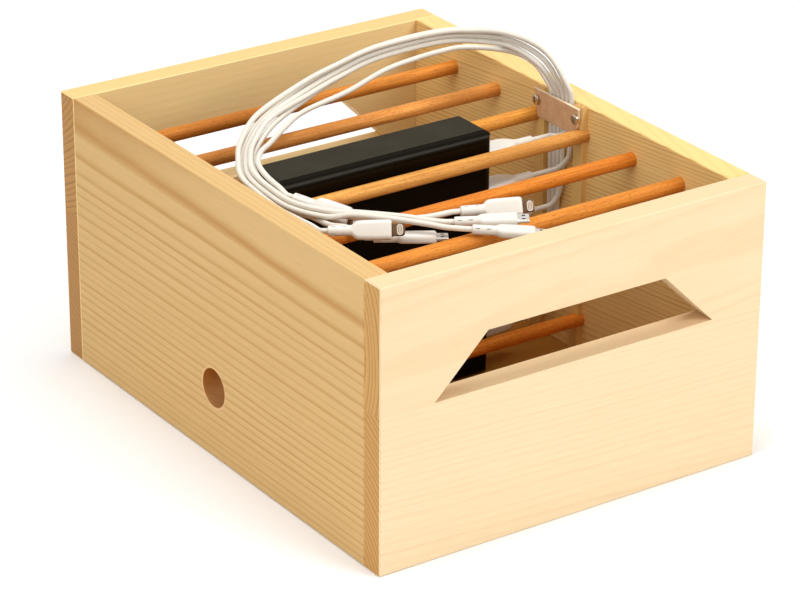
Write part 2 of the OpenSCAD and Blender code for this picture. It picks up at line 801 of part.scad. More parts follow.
// Sheet metal sockets, open on the right, soldered to the circuit board
module usb_sockets() {
    for (i = [0:port_count - 1]) color("silver") translate([charger_x1 - socket_depth, 0, port_z(i)]) {
        difference() {
            block([0, -socket_w / 2, -socket_h / 2], [socket_depth, socket_w / 2, socket_h / 2]);
            block([sheet_t, -socket_w / 2 + sheet_t, -socket_h / 2 + sheet_t],
                [socket_depth + cut, socket_w / 2 - sheet_t, socket_h / 2 - sheet_t]);
        }
    }
}

module socket_tongues() {
    for (i = [0:port_count - 1]) color("white") translate([charger_x1 - socket_depth + sheet_t, 0, port_z(i)]) {
        block([0, -tongue_w / 2, tongue_lift],
            [socket_depth - sheet_t - tongue_setback, tongue_w / 2, tongue_lift + tongue_t]);
        block([0, -tongue_w / 2, -tongue_foot_drop], [tongue_foot_t, tongue_w / 2, tongue_lift]);
    }
}

module mains_inlet() {
    color("#202020") translate([charger_x0 - inlet_proud, 0, lead_hole_z]) difference() {
        union() {
            block([0, -inlet_t / 2, -inlet_w / 2], [inlet_depth, inlet_t / 2, inlet_w / 2]);
            block([inlet_proud + shell_wall + slide_gap, inlet_t / 2 - inlet_ledge_t, -inlet_w / 2],
                [inlet_depth, pcb_front_y, inlet_w / 2]);
        }
        translate([-cut, 0, 0]) rotate([90, 0, 90]) linear_extrude(inlet_recess + cut) {
            square([inlet_recess_dia, inlet_pin_pitch], center = true);
            for (s = [-1, 1]) translate([0, s * inlet_pin_pitch / 2]) circle(d = inlet_recess_dia);
        }
        inlet_pin_pair(inlet_pin_dia / 2 + fit_gap, 0);
    }
}

// The two pins stand in the recess's floor
module inlet_pin_pair(r, e) {
    l = inlet_pin_len + (inlet_depth - inlet_recess) / 2 - e;
    for (s = [-1, 1]) rod_x([inlet_recess - inlet_pin_len, 0, s * inlet_pin_pitch / 2], r, l);
}

module inlet_pins() {
    color("silver") translate([charger_x0 - inlet_proud, 0, lead_hole_z])
        inlet_pin_pair(inlet_pin_dia / 2, slide_gap);
}

// Body and sleeve of a plug, with the insulator that fills half of its metal tip
module usb_plug(i) {
    color("whitesmoke") translate([plug_x, 0, port_z(i)]) {
        difference() {
            union() {
                eased_block([0, -plug_w / 2, -plug_h / 2], [plug_len, plug_w / 2, plug_h / 2], plug_chamfer);
                rod_x([plug_len - cut, 0, 0], sleeve_dia / 2, sleeve_len + cut);
            }
            block([-cut, -plug_tip_w / 2, -plug_tip_h / 2], [plug_tip_seat, plug_tip_w / 2, plug_tip_h / 2]);
            rod_x([plug_bore_x - plug_x, 0, 0], cable_dia / 2 + sleeve_gap, sleeve_end_x - plug_bore_x + cut);
        }
        block([plug_core_setback - plug_tip_len, -plug_tip_w / 2 + sheet_t, -plug_tip_h / 2 + sheet_t],
            [plug_tip_seat, plug_tip_w / 2 - sheet_t, -plug_core_drop]);
    }
}

// Metal tip of a plug: a sheet tube with two square windows above and below
module plug_tip(i) {
    color("silver") translate([plug_x, 0, port_z(i)]) difference() {
        block([-plug_tip_len, -plug_tip_w / 2, -plug_tip_h / 2],
            [plug_tip_seat, plug_tip_w / 2, plug_tip_h / 2]);
        block([-plug_tip_len - cut, -plug_tip_w / 2 + sheet_t, -plug_tip_h / 2 + sheet_t],
            [plug_tip_seat + cut, plug_tip_w / 2 - sheet_t, plug_tip_h / 2 - sheet_t]);
        for (s = [-1, 1])
            translate([plug_window_x - plug_tip_len, s * plug_window_y, 0])
                cube([plug_window, plug_window, plug_tip_h + cut], center = true);
    }
}

module cable(i) {
    color("ivory") tube(smooth(route(i)), cable_dia / 2);
}

// Moves its children from a connector's own axes to its place
module posed(pose) {
    translate(pose[0]) rotate([0, 0, pose[1]]) rotate([0, pose[2], 0]) rotate([pose[3], 0, 0]) children();
}

module connector(i) {
    pose = connector_pose[i];
    w = pose[4] == "flat" ? connector_w : small_connector_w;
    t = pose[4] == "flat" ? connector_t : small_connector_t;
    sleeve_d = min(relief_dia, t);
    color("whitesmoke") posed(pose) difference() {
        union() {
            rod_x([0, 0, 0], sleeve_d / 2, relief_len + cut);
            translate([relief_len, 0, 0])
                eased_block([0, -w / 2, -t / 2], [connector_len, w / 2, t / 2], connector_chamfer);
        }
        tip_block(pose, 0);
    }
}

// A connector's tip, with a solid end for cutting its seat or with its hollow open
module tip_block(pose, hollow) {
    x = relief_len + connector_len;
    if (pose[4] == "flat") {
        block([x - tip_seat, -flat_tip_w / 2, -flat_tip_t / 2],
            [x + flat_tip_len - flat_tip_w / 6, flat_tip_w / 2, flat_tip_t / 2]);
        block([x, -flat_tip_w / 3, -flat_tip_t / 2], [x + flat_tip_len, flat_tip_w / 3, flat_tip_t / 2]);
    } else {
        difference() {
            block([x - tip_seat, -hollow_tip_w / 2, -hollow_tip_t / 2],
                [x + hollow_tip_len, hollow_tip_w / 2, hollow_tip_t / 2]);
            block([x + sheet_t, -hollow_tip_w / 2 + sheet_t, -hollow_tip_t / 2 + sheet_t],
                [x + hollow_tip_len + hollow, hollow_tip_w / 2 - sheet_t, hollow_tip_t / 2 - sheet_t]);
        }
    }
}

module connector_tip(i) {
    color("gray") posed(connector_pose[i]) tip_block(connector_pose[i], cut);
}

front_upper_board();
front_lower_board();
back_upper_board();
back_lower_board();
left_side_board();
right_side_board();
floor_panel();
upper_dowel(0);  // upper_dowel_1
upper_dowel(1);  // upper_dowel_2
upper_dowel(2);  // upper_dowel_3
upper_dowel(3);  // upper_dowel_4
upper_dowel(4);  // upper_dowel_5
upper_dowel(5);  // upper_dowel_6
lower_dowels();
corner_pins();
front_batten();
back_batten();
leather_strap();
strap_screws();
charger_housing();
charger_cover();
circuit_board();
board_screws();
transformer();
capacitors();
usb_sockets();
socket_tongues();
mains_inlet();
inlet_pins();
usb_plug(0);  // usb_plug_1
usb_plug(1);  // usb_plug_2
usb_plug(2);  // usb_plug_3
usb_plug(3);  // usb_plug_4
usb_plug(4);  // usb_plug_5
usb_plug(5);  // usb_plug_6
plug_tip(0);  // plug_tip_1
plug_tip(1);  // plug_tip_2
plug_tip(2);  // plug_tip_3
plug_tip(3);  // plug_tip_4
plug_tip(4);  // plug_tip_5
plug_tip(5);  // plug_tip_6
cable(0);  // cable_1
cable(1);  // cable_2
cable(2);  // cable_3
cable(3);  // cable_4
cable(4);  // cable_5
cable(5);  // cable_6
connector(0);  // connector_1
connector(1);  // connector_2
connector(2);  // connector_3
connector(3);  // connector_4
connector(4);  // connector_5
connector(5);  // connector_6
connector_tip(0);  // connector_tip_1
connector_tip(1);  // connector_tip_2
connector_tip(2);  // connector_tip_3
connector_tip(3);  // connector_tip_4
connector_tip(4);  // connector_tip_5
connector_tip(5);  // connector_tip_6
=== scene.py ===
import math
import bmesh
import bpy
from mathutils import Matrix, Vector


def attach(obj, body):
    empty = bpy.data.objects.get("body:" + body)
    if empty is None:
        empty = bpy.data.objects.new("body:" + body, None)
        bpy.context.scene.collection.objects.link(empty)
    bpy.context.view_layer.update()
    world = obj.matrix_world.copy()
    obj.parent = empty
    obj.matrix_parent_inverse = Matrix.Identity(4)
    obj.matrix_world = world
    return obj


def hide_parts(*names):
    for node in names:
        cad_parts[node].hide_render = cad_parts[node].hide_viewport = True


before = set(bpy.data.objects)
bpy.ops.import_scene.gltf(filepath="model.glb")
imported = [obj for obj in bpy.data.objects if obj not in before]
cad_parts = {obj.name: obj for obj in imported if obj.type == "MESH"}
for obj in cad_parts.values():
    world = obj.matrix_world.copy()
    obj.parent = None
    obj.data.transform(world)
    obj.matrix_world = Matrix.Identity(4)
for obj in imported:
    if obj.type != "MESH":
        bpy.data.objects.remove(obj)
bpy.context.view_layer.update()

MM = 0.001
TO_MM = 1000  # shaders see metres


def add_object(name, data):
    item = bpy.data.objects.new(name, data)
    bpy.context.collection.objects.link(item)
    return item


# ---------------------------------------------------------------- camera, fitted to the photograph

CAMERA_PLACE = (-0.9597, -1.4021, 0.8451)
CAMERA_ANGLES = (-34.35, 24.76, 0.30)  # azimuth, elevation and roll in degrees
CAMERA_SENSOR = 36
CAMERA_LENS = 155.3


def make_camera():
    """Camera fitted to the outer corners of the box in the photograph."""
    azimuth, elevation, roll = (math.radians(a) for a in CAMERA_ANGLES)
    back = Vector((math.sin(azimuth) * math.cos(elevation),
                   -math.cos(azimuth) * math.cos(elevation), math.sin(elevation)))
    right = (-back).cross(Vector((0, 0, 1))).normalized()
    up = right.cross(-back)
    side = math.cos(roll) * right + math.sin(roll) * up
    top = -math.sin(roll) * right + math.cos(roll) * up
    data = bpy.data.cameras.new("camera")
    data.sensor_width = CAMERA_SENSOR
    data.lens = CAMERA_LENS
    data.clip_start = 0.05
    data.clip_end = 20
    camera = add_object("camera", data)
    turned = Matrix((side, top, back)).transposed().to_4x4()
    camera.matrix_world = Matrix.Translation(CAMERA_PLACE) @ turned
    bpy.context.scene.camera = camera


make_camera()


# ---------------------------------------------------------------- cables
# Their routes have the points and the formulas of part.scad, in millimetres.

CABLES = range(6)
CABLE_DIA = 3.0
CHANNEL_PITCH = 3.6
BUNDLE_PITCH = 3.5
CHANNEL_X = 104.25
CHANNEL_MID_Y = -1.0
STRAP_TOP_Z = 157.0
STRAP_BOTTOM_Z = 141.0
PASS_Z = (142, 143)
LEAD_RISE, LEAD_STEP = 22, 20
SLEEVE_END_X = 84.8
CABLE_START_X = 81.8
PLUG_TRAVEL = 12.0
LEAD_STRAIGHT = 0.6
CABLE_STRAIGHT = 4.0
CURVE_STEP = 2.5
TOP_PORT_Z, PORT_PITCH = 135.8, 21
PORT_Z = [TOP_PORT_Z - PORT_PITCH * i for i in CABLES]
CABLE_SLOT = (-1.5, -2.5, -0.5, 0.5, 1.5, 2.5)
BUNDLE_PLACE = [[0.6, -0.66], [1.2, 0], [0, 0], [-0.6, 0.66], [-1.2, 0], [0, 0]]
BUNDLE_STATIONS = [12, 13, 15, 15, 15, 0]
FIRST_LEAD = [[100.4, 0.5, 0], [103.3, 0.95, 2.5]]
OTHER_LEAD = [[99.6, 0.25, 1.2], [102.6, 0.7, 6], [104, 1, 13]]
# Each station of the bundle: its middle, its direction outward, its spread and its rise.
BUNDLE = [
    [[102.5, 1, 164.5], [0, -1, 0.2], 0, 0.6],
    [[98.5, 10, 176.5], [-0.05, -0.47, 0.88], 0.4, 1],
    [[95, 33, 181], [-0.31, -0.16, 0.94], 0.9, 1],
    [[85, 55, 179.6], [-0.44, -0.3, 0.85], 1, 1],
    [[67, 67, 178.4], [-0.26, -0.49, 0.83], 1, 1],
    [[32, 74, 174.3], [-0.19, -0.36, 0.91], 1, 1],
    [[7, 74, 168.8], [-0.19, -0.09, 0.98], 1, 1],
    [[-18, 69, 164], [-0.24, 0.24, 0.94], 0.9, 1],
    [[-50, 56, 159], [-0.5, 0.8, 0.3], 0.6, 1],
    [[-70.7, 40, 155], [-0.7, 0.7, 0.2], 0.8, 1],
    [[-84.4, 22, 155.2], [-0.8, 0.5, 0.1], 1, 1],
    [[-93.8, 4, 154.6], [-1, 0.2, 0], 1, 1],
    [[-94.3, -12, 151.6], [-1, 0, 0], 1, 1],
    [[-91.5, -32, 149], [-1, -0.3, 0], 1, 1],
    [[-81.5, -51, 148.5], [-0.8, -0.5, 0], 1, 1]
]
CABLE_TAIL = [
    [[-96.6, -8, 149.6], [-93.8, -21, 147], [-88.7, -30, 145.2], [-82.5, -38, 144],
     [-83, -56.2, 146.1], [-78.6, -65.6, 147]],
    [[-98, -31, 149.5], [-97.7, -46, 150], [-97, -59, 150.5]],
    [[-73, -61.5, 151.4], [-62.5, -72.5, 151.3], [-54.8, -81.4, 151], [-45.6, -90.6, 150],
     [-40.5, -96.7, 149.4]],
    [[-70.2, -58.5, 151], [-59.4, -69.3, 151], [-50, -79, 150.8], [-44, -85, 150]],
    [[-68.5, -58.5, 147.8], [-57.5, -67, 147.7], [-47.5, -74.6, 147.9], [-38.9, -80.5, 149]],
    [[104, 11.5, 161.5], [102, 20, 169.6], [98.7, 30.7, 173.2], [91.3, 39.1, 175],
     [83.8, 47.7, 175], [74.7, 53.8, 175], [66.5, 57.5, 173.8], [51, 62, 171], [31, 64, 167.4],
     [3, 58, 163], [-27.5, 54.5, 159.2], [-47, 43.3, 158], [-64, 30.4, 157.5],
     [-75.2, 21.7, 158], [-83.2, 12.2, 157.6], [-87, 3, 157], [-88.2, -6.8, 155.4],
     [-86.8, -15, 152.8]]
]
# Where each connector's cable enters it, its heading, pitch and roll in degrees, and its tip.
CONNECTOR_POSE = [
    [[-69, -74.5, 142.4], -32, 0, 0, "hollow"],
    [[-93.5, -70.4, 150.6], -36.5, -2.5, 62, "flat"],
    [[-29.3, -105, 148.6], -33, 4, 10, "hollow"],
    [[-31.6, -92.6, 148.8], -33, -2.5, 10, "hollow"],
    [[-23.2, -86, 150.2], -22.5, 0, 62, "flat"],
    [[-83.6, -22.8, 149.6], -57.6, 10, 60, "flat"]
]


def along(pose, distance):
    """Point at a distance along a connector's axis, from where its cable enters."""
    h, p = math.radians(pose[1]), math.radians(pose[2])
    axis = Vector((math.cos(h) * math.cos(p), math.sin(h) * math.cos(p), -math.sin(p)))
    return Vector(pose[0]) + distance * axis


def lead_in(i):
    """From the plug to the strap's top edge."""
    y, z = CHANNEL_MID_Y + CABLE_SLOT[i] * CHANNEL_PITCH, PORT_Z[i]
    points = [(CABLE_START_X, 0, z), (SLEEVE_END_X + PLUG_TRAVEL + LEAD_STRAIGHT, 0, z)]
    points += [(q[0], q[1] * y, z + q[2]) for q in (OTHER_LEAD if i else FIRST_LEAD)]
    if i:
        h = z + LEAD_RISE
        while h <= PASS_Z[1] - LEAD_STEP / 2:
            points.append((CHANNEL_X, y, h))
            h += LEAD_STEP
    points += [(CHANNEL_X, y, PASS_Z[1 if i else 0]), (CHANNEL_X, y, STRAP_TOP_Z)]
    return [Vector(p) for p in points]


def bundle_point(i, k):
    """Cable i's place at station k of the bundle."""
    last = len(BUNDLE) - 1
    foot = (CHANNEL_X, CHANNEL_MID_Y, STRAP_BOTTOM_Z)
    before = Vector(BUNDLE[k - 1][0] if k else foot)
    heading = (Vector(BUNDLE[min(k + 1, last)][0]) - before).normalized()
    centre, outward, spread, rise = BUNDLE[k]
    side = Vector(outward)
    side = (side - side.dot(heading) * heading).normalized()
    place, layer = BUNDLE_PLACE[i]
    across = (1 - spread) * -CABLE_SLOT[i] * CHANNEL_PITCH + spread * place * BUNDLE_PITCH
    lift = rise * layer * BUNDLE_PITCH
    return Vector(centre) + across * side + lift * side.cross(heading)


def route(i):
    points = lead_in(i) + [bundle_point(i, k) for k in range(BUNDLE_STATIONS[i])]
    points += [Vector(p) for p in CABLE_TAIL[i]]
    return points + [along(CONNECTOR_POSE[i], -CABLE_STRAIGHT), along(CONNECTOR_POSE[i], 0)]


def smooth(p, step):
    """Smooth curve through the points, with the ends kept straight."""
    n, out = len(p) - 1, []
    for i in range(n):
        a = 2 * p[0] - p[1] if i == 0 else p[i - 1]
        b, c = p[i], p[i + 1]
        d = 2 * p[n] - p[n - 1] if i == n - 1 else p[i + 2]
        steps = 1 if i in (0, n - 1) else max(1, round((c - b).length / step))
        for k in range(steps):
            t = k / steps
            out.append(0.5 * (2 * b + (c - a) * t + (2 * a - 5 * b + 4 * c - d) * t * t
                              + (3 * b - a - 3 * c + d) * t ** 3))
    return out + [p[n]]


def cable_piece(i):
    """A cable's tube, the point where it starts and its length, both in metres."""
    points = smooth(route(i), CURVE_STEP)
    data = bpy.data.curves.new("cable_%d_jacket" % (i + 1), "CURVE")
    data.dimensions = "3D"
    data.bevel_depth = CABLE_DIA / 2 * MM
    data.bevel_resolution = 4
    data.use_fill_caps = True
    spline = data.splines.new("POLY")
    spline.points.add(len(points) - 1)
    for point, p in zip(spline.points, points):
        point.co = (*(p * MM), 1)
    spline.use_smooth = True
    length = sum((b - a).length for a, b in zip(points, points[1:])) * MM
    return add_object(data.name, data), points[0] * MM, length


# ---------------------------------------------------------------- mesh helpers

CORNER_POINTS = 8
WELD = 1e-7  # metres within which two points are one


def weld(bm):
    """Joins points that coincide, as where two round corners of a section meet."""
    bmesh.ops.remove_doubles(bm, verts=bm.verts, dist=WELD)


def new_object(name, bm):
    """An object that takes over the mesh in bm, with its faces turned outward."""
    weld(bm)
    mesh = bpy.data.meshes.new(name)
    bmesh.ops.recalc_face_normals(bm, faces=bm.faces)
    bm.to_mesh(mesh)
    bm.free()
    return add_object(name, mesh)


def shade(piece, angle=40):
    """Smooth shading with edges sharper than the angle kept."""
    mesh = piece.data
    for face in mesh.polygons:
        face.use_smooth = True
    mesh.set_sharp_from_angle(angle=math.radians(angle))


def round_rect(w, h, r):
    """Points of a rectangle with round corners, around the origin."""
    r = min(r, w / 2, h / 2)
    points = []
    for corner, (sx, sy) in enumerate(((1, 1), (-1, 1), (-1, -1), (1, -1))):
        for k in range(CORNER_POINTS):
            a = math.radians(90 * corner + 90 * k / (CORNER_POINTS - 1))
            points.append((sx * (w / 2 - r) + r * math.cos(a),
                           sy * (h / 2 - r) + r * math.sin(a)))
    return points


def bridge(bm, a, b, slot=0):
    """Closed band of faces between two rings of vertices."""
    band = []
    for k in range(len(a)):
        n = (k + 1) % len(a)
        face = bm.faces.new((a[k], a[n], b[n], b[k]))
        face.material_index = slot
        band.append(face)
    return band


def add_loft(bm, sections, slot=0):
    """Closed skin over sections of (x, width, thickness, corner radius). Gives its bands."""
    rings = [[bm.verts.new((x * MM, y * MM, z * MM)) for y, z in round_rect(w, h, r)]
             for x, w, h, r in sections]
    bands = [bridge(bm, a, b, slot) for a, b in zip(rings, rings[1:])]
    for ring in (rings[0], rings[-1]):
        bm.faces.new(ring).material_index = slot
    return bands


def put(piece, matrix):
    """Moves a piece's mesh, so that its object stays at the origin."""
    piece.data.transform(matrix)
    piece.data.update()


# ---------------------------------------------------------------- materials

class Nodes:
    """Short way to write a node tree. A value is a number, a colour or another node's socket."""

    def __init__(self, name):
        self.material = bpy.data.materials.new(name)
        self.material.use_nodes = True
        self.tree = self.material.node_tree
        self.tree.nodes.clear()
        self.coords = self.add("ShaderNodeTexCoord").outputs["Object"]

    def add(self, kind, inputs=None, **settings):
        node = self.tree.nodes.new(kind)
        for key, value in settings.items():
            setattr(node, key, value)
        for key, value in (inputs or {}).items():
            if isinstance(value, bpy.types.NodeSocket):
                self.tree.links.new(value, node.inputs[key])
            else:
                node.inputs[key].default_value = value
        return node

    def math(self, operation, a, b=0.0, c=0.0, clamp=False):
        node = self.add("ShaderNodeMath", {0: a, 1: b, 2: c}, operation=operation, use_clamp=clamp)
        return node.outputs[0]

    def times(self, a, b):
        return self.math("MULTIPLY", a, b)

    def plus(self, a, b):
        return self.math("ADD", a, b)

    def minus(self, a, b, clamp=False):
        return self.math("SUBTRACT", a, b, clamp=clamp)

    def times_plus(self, a, b, c):
        return self.math("MULTIPLY_ADD", a, b, c)

    def absolute(self, value):
        return self.math("ABSOLUTE", value)

    def distance(self, a, b):
        return self.math("SQRT", self.plus(self.times(a, a), self.times(b, b)))

    def split(self, vector):
        return self.add("ShaderNodeSeparateXYZ", {0: vector}).outputs

    def join(self, x, y, z):
        return self.add("ShaderNodeCombineXYZ", {0: x, 1: y, 2: z}).outputs[0]

    def normal(self):
        return self.split(self.add("ShaderNodeNewGeometry").outputs["Normal"])

    def noise(self, vector, scale=1.0, detail=2.0, rough=0.5):
        return self.add("ShaderNodeTexNoise", {"Vector": vector, "Scale": scale, "Detail": detail,
                                               "Roughness": rough}).outputs["Fac"]

    def ramp(self, value, stops):
        """Grey ramp over stops of (place, brightness)."""
        node = self.add("ShaderNodeValToRGB", {0: value})
        band = node.color_ramp
        while len(band.elements) < len(stops):
            band.elements.new(0.5)
        for element, (at, grey) in zip(band.elements, stops):
            element.position = at
            element.color = (grey, grey, grey, 1)
        return node.outputs["Color"]

    def mix(self, factor, a, b):
        node = self.add("ShaderNodeMix", data_type="RGBA", blend_type="MIX")
        for key, value in ((0, factor), (6, a), (7, b)):
            if isinstance(value, bpy.types.NodeSocket):
                self.tree.links.new(value, node.inputs[key])
            else:
                node.inputs[key].default_value = value if key == 0 else (*value, 1)
        return node.outputs[2]

    def between(self, value, low, high, to_low=0.0, to_high=1.0):
        node = self.add("ShaderNodeMapRange", {"Value": value, "From Min": low, "From Max": high,
                                               "To Min": to_low, "To Max": to_high})
        return node.outputs["Result"]

    def bump(self, height, strength, distance):
        return self.add("ShaderNodeBump", {"Height": height, "Strength": strength,
                                           "Distance": distance}).outputs["Normal"]

    def finish(self, **inputs):
        named = {}
        for key, value in inputs.items():
            colour = isinstance(value, tuple) and len(value) == 3
            named[key.replace("_", " ")] = (*value, 1) if colour else value
        shader = self.add("ShaderNodeBsdfPrincipled", named)
        out = self.add("ShaderNodeOutputMaterial")
        self.tree.links.new(shader.outputs[0], out.inputs[0])
        return self.material


def tone(colour, factor):
    return tuple(factor * c for c in colour)


GRAIN_AXES = {"X": (0, 1, 2), "Y": (1, 0, 2), "Z": (2, 0, 1)}
# From where to where a normal's share along an axis turns a face into one that faces that way.
FACING = (0.7, 0.9)
# Darkness across one year's ring, from its start to its end.
RING_PROFILE = ((0.0, 0.45), (0.06, 0.0), (0.6, 0.08), (0.9, 1.0), (1.0, 0.7))
TORN_EDGE = (0.86, 0.50, 0.27)
# The hole's wall: its drilled end grain, darkened by painted shade.
BORE_WALL_SHADE = (0.42, 0.13, 0.008)


def softwood(name, grain, heart, ring, pale, late, tilt=(0.0, 0.0), wobble=0.8, depth=0.6,
             mark=None, end=(0.72, 0.40, 0.13), rim=0.6, top_shade=0.0, bore=None, seed=0.0):
    """Solid pine: growth rings round a heart line along the grain, so faces, edges and ends agree.

    grain: the board's long axis. pale, late: colours between the rings and in them.
    heart: where the heart line crosses the two other axes, in millimetres. tilt: its slope.
    ring: ring width in millimetres. wobble: how far rings stray. depth: how strong they are.
    mark: a ring that stands out: its radius, half its width, its strength and its colour.
    end: the end grain's colour. rim: strength of the rings on faces that look up.
    top_shade: how far painted shade darkens those faces towards the late colour. bore: a hole, as
    in drilled()."""
    n = Nodes(name)
    part, normal = n.split(n.coords), n.normal()
    axis_l, *cross_axes = GRAIN_AXES[grain]
    length = n.times(part[axis_l], TO_MM)
    a, b = (n.times_plus(length, -slope, n.times_plus(part[axis], TO_MM, -centre))
            for axis, centre, slope in zip(cross_axes, heart, tilt))

    # Rings, unsteady along the board and from year to year.
    stray = n.join(n.times_plus(length, 0.006, seed), n.times(a, 0.03), n.times(b, 0.03))
    radius = n.times_plus(n.minus(n.noise(stray, 1, 3), 0.5), 2 * wobble * ring, n.distance(a, b))
    turn = n.math("DIVIDE", radius, ring)
    turn = n.times_plus(n.noise(n.join(turn, seed, 0.0), 0.45, 0), 0.9, turn)
    year = n.noise(n.join(n.math("FLOOR", turn), seed, 3.0), 1.37, 0)
    line = n.ramp(n.math("FRACT", turn), RING_PROFILE)
    strength = n.times(n.times(line, n.between(year, 0.35, 0.65, 0.45, 1.0)), depth)
    strength = n.times(strength, n.between(normal[2], *FACING, 1.0, rim))
    # Fibres, clouds of tone and pores, all stretched along the grain.
    fibre = n.join(n.times(length, 0.02), n.times(a, 0.9), n.times(b, 0.9))
    fibre = n.noise(fibre, 2.2, 3, 0.6)
    cloud = n.join(n.times(length, 0.008), n.times(a, 0.02), n.times_plus(b, 0.02, seed))
    cloud = n.noise(cloud, 1, 2)
    pores = n.noise(n.join(n.times(length, 0.2), a, b), 2.4, 2)

    # Colours of the faces, then those of end grain, the painted shade on faces that look up, and
    # the hole.
    colour = n.mix(strength, pale, late)
    if mark:
        mark_radius, half_width, mark_strength, mark_colour = mark
        away = n.math("DIVIDE", n.absolute(n.minus(radius, mark_radius)), half_width)
        near = n.math("POWER", n.minus(1.0, away, clamp=True), 1.5)
        colour = n.mix(n.times(near, mark_strength), colour, mark_colour)
    colour = n.mix(n.between(fibre, 0.3, 0.7, 0.0, 0.16), colour, tone(late, 0.62))
    middle = tuple(0.5 * (p + q) for p, q in zip(pale, late))
    colour = n.mix(n.between(cloud, 0.35, 0.65, 0.0, 0.22), colour, middle)
    end_colour = n.mix(n.times(line, 0.75), end, tone(end, 0.55))
    end_colour = n.mix(n.between(pores, 0.4, 0.6, 0.0, 0.3), end_colour, tone(end, 0.5))
    colour = n.mix(n.between(n.absolute(normal[axis_l]), *FACING), colour, end_colour)
    # Painted shade: faces that look up are darkened towards the late colour.
    colour = n.mix(n.between(normal[2], *FACING, 0.0, top_shade), colour, tone(late, 0.9))
    if bore:
        colour = drilled(n, colour, part, normal, pores, bore)
    height = n.plus(n.times(fibre, 0.5), n.times(line, 0.3))
    return n.finish(Base_Color=colour, Roughness=n.between(fibre, 0.3, 0.7, 0.5, 0.62),
                    Specular_IOR_Level=0.15, Normal=n.bump(height, 0.25, 0.0003))


def drilled(n, colour, part, normal, pores, bore):
    """Hole along X through wood, with painted shade on its wall, deepest towards its top, and a
    pale torn edge.

    bore: the Y and Z of its middle and its radius, in millimetres."""
    middle_y, middle_z, radius = bore
    dy = n.times_plus(part[1], TO_MM, -middle_y)
    dz = n.times_plus(part[2], TO_MM, -middle_z)
    away = n.times_plus(n.minus(pores, 0.5), 0.5, n.distance(dy, dz))
    torn = n.between(away, radius + 0.8, radius + 1.5, 0.45, 0.0)
    # Painted shade on the hole's wall, with more of it towards the top of the wall.
    inside = n.between(n.absolute(normal[0]), 0.3, 0.7, 1.0, 0.0)
    inside = n.times(inside, n.between(away, radius + 0.4, radius + 0.8, 1.0, 0.0))
    inside = n.times(inside, n.between(dz, -0.8 * radius, 0.6 * radius, 0.6, 0.95))
    return n.mix(inside, n.mix(torn, colour, TORN_EDGE), BORE_WALL_SHADE)


ROD_STEP = 97  # millimetres of grain from one rod's seed to the next
SHADE_ALONG = (0.05, -0.06)  # where on X a rod's painted shade sets in and where it is full


def hardwood(name, light, dark, seed, painted_shade):
    """Turned hardwood rod along X: long fibres and short dark flecks.

    painted_shade: how much painted shade darkens it towards -X."""
    n = Nodes(name)
    part = n.split(n.coords)
    x = n.times_plus(part[0], TO_MM, seed * ROD_STEP)
    y, z = (n.times(part[k], TO_MM) for k in (1, 2))
    fibre = n.noise(n.join(n.times(x, 0.04), y, z), 1.1, 3, 0.6)
    broad = n.noise(n.join(n.times(x, 0.012), n.times(y, 0.12), n.times(z, 0.12)), 1, 2)
    fleck = n.noise(n.join(n.times(x, 0.45), n.times(y, 2.6), n.times(z, 2.6)), 1, 1)
    colour = n.mix(n.between(fibre, 0.34, 0.66), tone(light, 1.12), dark)
    colour = n.mix(n.between(broad, 0.38, 0.62, 0.0, 0.7), colour, tone(dark, 0.9))
    # Painted shade: the rod darkens towards -X.
    if painted_shade:
        colour = n.mix(n.between(part[0], *SHADE_ALONG, 0.0, painted_shade), colour, tone(dark, 0.62))
    colour = n.mix(n.between(fleck, 0.6, 0.7, 0.0, 0.55), colour, tone(dark, 0.35))
    return n.finish(Base_Color=colour, Roughness=0.5, Specular_IOR_Level=0.15,
                    Normal=n.bump(n.plus(fibre, fleck), 0.3, 0.0002))


def leather(name, base, dark, cut):
    """Undyed leather: fine pebble grain on the faces, pale raw edges."""
    n = Nodes(name)
    grain = n.add("ShaderNodeTexVoronoi", {"Vector": n.coords, "Scale": 1900.0},
                  feature="SMOOTH_F1").outputs["Distance"]
    cloud = n.noise(n.coords, 160, 3)
    on_edge = n.between(n.absolute(n.normal()[0]), 0.85, 0.5)
    colour = n.mix(n.between(cloud, 0.35, 0.65, 0.0, 0.7), base, dark)
    colour = n.mix(n.between(grain, 0.2, 0.8, 0.0, 0.25), colour, tone(dark, 0.6))
    return n.finish(Base_Color=n.mix(on_edge, colour, cut), Roughness=0.62,
                    Specular_IOR_Level=0.3, Normal=n.bump(grain, 0.35, 0.0003))


def plastic(name, colour, rough, grain_scale, grain_depth, speckle=0.05, coat=0.0, specular=0.5,
            tint=(1, 1, 1)):
    """Moulded plastic: fine texture and slight unevenness."""
    n = Nodes(name)
    fine = n.noise(n.coords, grain_scale, 2)
    cloud = n.noise(n.coords, 60, 2)
    uneven = n.mix(n.between(cloud, 0.3, 0.7, 0.0, speckle), colour, tone(colour, 0.6))
    uneven = n.mix(n.between(fine, 0.45, 0.75, 0.0, speckle), uneven, tone(colour, 0.55))
    return n.finish(Base_Color=uneven,
                    Roughness=n.between(cloud, 0.3, 0.7, rough - 0.04, rough + 0.04),
                    Coat_Weight=coat, Coat_Roughness=0.15, Specular_IOR_Level=specular,
                    Specular_Tint=tint, Normal=n.bump(fine, grain_depth, 0.0002))


def metal(name, colour, rough):
    """Sheet or plated metal with faint drawing marks."""
    n = Nodes(name)
    x, y, z = n.split(n.coords)
    marks = n.noise(n.join(n.times(x, 300), n.times(y, 9000), n.times(z, 9000)), 1, 2)
    cloud = n.noise(n.coords, 400, 2)
    uneven = n.mix(n.between(cloud, 0.3, 0.7, 0.0, 0.35), colour, tone(colour, 0.7))
    return n.finish(Base_Color=uneven, Metallic=1.0,
                    Roughness=n.between(marks, 0.3, 0.7, rough - 0.08, rough + 0.1),
                    Normal=n.bump(marks, 0.25, 0.00005))


